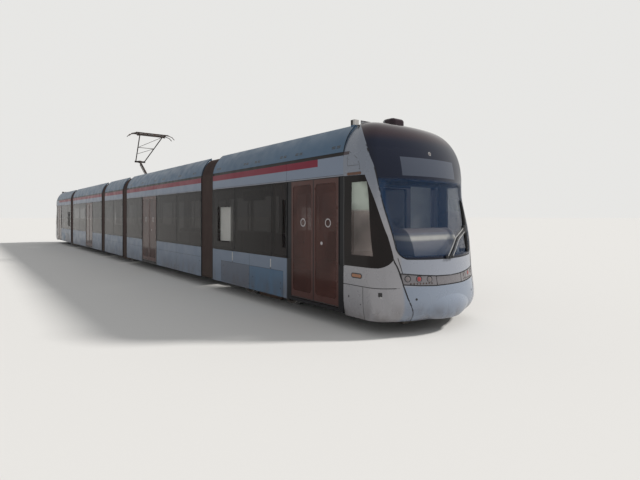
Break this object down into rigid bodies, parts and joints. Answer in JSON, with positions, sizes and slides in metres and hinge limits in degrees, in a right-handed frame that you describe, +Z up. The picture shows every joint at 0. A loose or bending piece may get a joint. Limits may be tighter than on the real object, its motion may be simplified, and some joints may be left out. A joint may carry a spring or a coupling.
{
  "type": "tram",
  "caption": "Five-section low-floor tram with a rounded cab at each end, dark window bands, double doors, articulated joints, three bogies and a single-arm pantograph",
  "frame": {"origin": "middle of the tram's length and width, at the lowest point of the wheel flanges", "axes": "+X forward to the leading cab, +Y to the left side, +Z up"},
  "size_m": [32.6598, 2.6596, 5.4858],
  "materials": {
    "body_silver": "satin",
    "roof_grey": "satin",
    "underframe": "matt",
    "door_dark": "gloss",
    "tinted_glass": "tinted, gloss",
    "lamp_clear": "clear",
    "interior_grey": "matt",
    "bogie_dark": "matt",
    "wheel_steel": "worn",
    "bellows_rubber": "matt",
    "panto_dark": "satin"
  },
  "bodies": {
    "centre_module": {"centre_floor": "underframe", "centre_raised_floor": "interior_grey", "centre_walls": "body_silver", "centre_roof": "roof_grey", "centre_glazing": "tinted_glass", "centre_interior": "interior_grey", "pantograph_base": "bogie_dark"},
    "front_mid_module": {"front_mid_floor": "underframe", "front_mid_walls": "body_silver", "front_mid_roof": "roof_grey", "front_mid_doors": "door_dark", "front_mid_glazing": "tinted_glass", "front_mid_interior": "interior_grey", "front_outer_bellows": "bellows_rubber", "front_inner_bellows": "bellows_rubber"},
    "front_module": {"front_floor": "underframe", "front_raised_floor": "interior_grey", "front_walls": "body_silver", "front_roof": "roof_grey", "front_doors": "door_dark", "front_nose": "body_silver", "front_windscreen": "tinted_glass", "front_glazing": "tinted_glass", "front_lamps": "lamp_clear", "front_partition": "interior_grey", "front_interior": "interior_grey"},
    "rear_mid_module": {"rear_mid_floor": "underframe", "rear_mid_walls": "body_silver", "rear_mid_roof": "roof_grey", "rear_mid_doors": "door_dark", "rear_mid_glazing": "tinted_glass", "rear_mid_interior": "interior_grey", "rear_outer_bellows": "bellows_rubber", "rear_inner_bellows": "bellows_rubber"},
    "rear_module": {"rear_floor": "underframe", "rear_raised_floor": "interior_grey", "rear_walls": "body_silver", "rear_roof": "roof_grey", "rear_doors": "door_dark", "rear_nose": "body_silver", "rear_windscreen": "tinted_glass", "rear_glazing": "tinted_glass", "rear_lamps": "lamp_clear", "rear_partition": "interior_grey", "rear_interior": "interior_grey"},
    "front_bogie_body": {"front_bogie": "bogie_dark"},
    "front_lead_wheels": {"front_lead_wheelset": "wheel_steel"},
    "front_trail_wheels": {"front_trail_wheelset": "wheel_steel"},
    "centre_bogie_body": {"centre_bogie": "bogie_dark"},
    "centre_lead_wheels": {"centre_lead_wheelset": "wheel_steel"},
    "centre_trail_wheels": {"centre_trail_wheelset": "wheel_steel"},
    "rear_bogie_body": {"rear_bogie": "bogie_dark"},
    "rear_lead_wheels": {"rear_lead_wheelset": "wheel_steel"},
    "rear_trail_wheels": {"rear_trail_wheelset": "wheel_steel"},
    "pantograph_lower_arm_body": {"pantograph_lower_arm": "panto_dark"},
    "pantograph_upper_arm_body": {"pantograph_upper_arm": "panto_dark"},
    "pantograph_head_body": {"pantograph_head": "panto_dark"}
  },
  "joints": [
    {"name": "front_inner_articulation", "type": "hinge", "parent": "centre_module", "child": "front_mid_module", "pos_m": [1.785, 0, 0.36], "axis": [0, 0, 1], "range_deg": [-15, 15], "deforming": ["front_inner_bellows"]},
    {"name": "front_outer_articulation", "type": "hinge", "parent": "front_mid_module", "child": "front_module", "pos_m": [9.575, 0, 0.36], "axis": [0, 0, 1], "range_deg": [-15, 15], "deforming": ["front_outer_bellows"]},
    {"name": "rear_inner_articulation", "type": "hinge", "parent": "centre_module", "child": "rear_mid_module", "pos_m": [-1.785, 0, 0.36], "axis": [0, 0, -1], "range_deg": [-15, 15], "deforming": ["rear_inner_bellows"]},
    {"name": "rear_outer_articulation", "type": "hinge", "parent": "rear_mid_module", "child": "rear_module", "pos_m": [-9.575, 0, 0.36], "axis": [0, 0, -1], "range_deg": [-15, 15], "deforming": ["rear_outer_bellows"]},
    {"name": "front_bogie_yaw", "type": "hinge", "parent": "front_module", "child": "front_bogie_body", "pos_m": [11.83, 0, 0.32], "axis": [0, 0, 1], "range_deg": [-4, 4]},
    {"name": "front_lead_axle", "type": "hinge", "parent": "front_bogie_body", "child": "front_lead_wheels", "pos_m": [12.73, 0, 0.351], "axis": [0, 1, 0], "continuous": true},
    {"name": "front_trail_axle", "type": "hinge", "parent": "front_bogie_body", "child": "front_trail_wheels", "pos_m": [10.93, 0, 0.351], "axis": [0, 1, 0], "continuous": true},
    {"name": "centre_bogie_yaw", "type": "hinge", "parent": "centre_module", "child": "centre_bogie_body", "pos_m": [0, 0, 0.32], "axis": [0, 0, 1], "range_deg": [-4, 4]},
    {"name": "centre_lead_axle", "type": "hinge", "parent": "centre_bogie_body", "child": "centre_lead_wheels", "pos_m": [0.9, 0, 0.351], "axis": [0, 1, 0], "continuous": true},
    {"name": "centre_trail_axle", "type": "hinge", "parent": "centre_bogie_body", "child": "centre_trail_wheels", "pos_m": [-0.9, 0, 0.351], "axis": [0, 1, 0], "continuous": true},
    {"name": "rear_bogie_yaw", "type": "hinge", "parent": "rear_module", "child": "rear_bogie_body", "pos_m": [-11.83, 0, 0.32], "axis": [0, 0, 1], "range_deg": [-4, 4]},
    {"name": "rear_lead_axle", "type": "hinge", "parent": "rear_bogie_body", "child": "rear_lead_wheels", "pos_m": [-12.73, 0, 0.351], "axis": [0, 1, 0], "continuous": true},
    {"name": "rear_trail_axle", "type": "hinge", "parent": "rear_bogie_body", "child": "rear_trail_wheels", "pos_m": [-10.93, 0, 0.351], "axis": [0, 1, 0], "continuous": true},
    {"name": "pantograph_base_pivot", "type": "hinge", "parent": "centre_module", "child": "pantograph_lower_arm_body", "pos_m": [0.78, 0, 3.446], "axis": [0, 1, 0], "range_deg": [-29, 10]},
    {"name": "pantograph_knee", "type": "hinge", "parent": "pantograph_lower_arm_body", "child": "pantograph_upper_arm_body", "pos_m": [-0.68, 0, 4.426], "axis": [0, -1, 0], "range_deg": [-58, 20]},
    {"name": "pantograph_head_pivot", "type": "hinge", "parent": "pantograph_upper_arm_body", "child": "pantograph_head_body", "pos_m": [0.92, 0, 5.396], "axis": [0, 1, 0], "range_deg": [-29, 10]}
  ],
  "couplings": [
    {"joint": "pantograph_knee", "follows": "pantograph_base_pivot", "ratio": 2},
    {"joint": "pantograph_head_pivot", "follows": "pantograph_base_pivot", "ratio": 1}
  ]
}
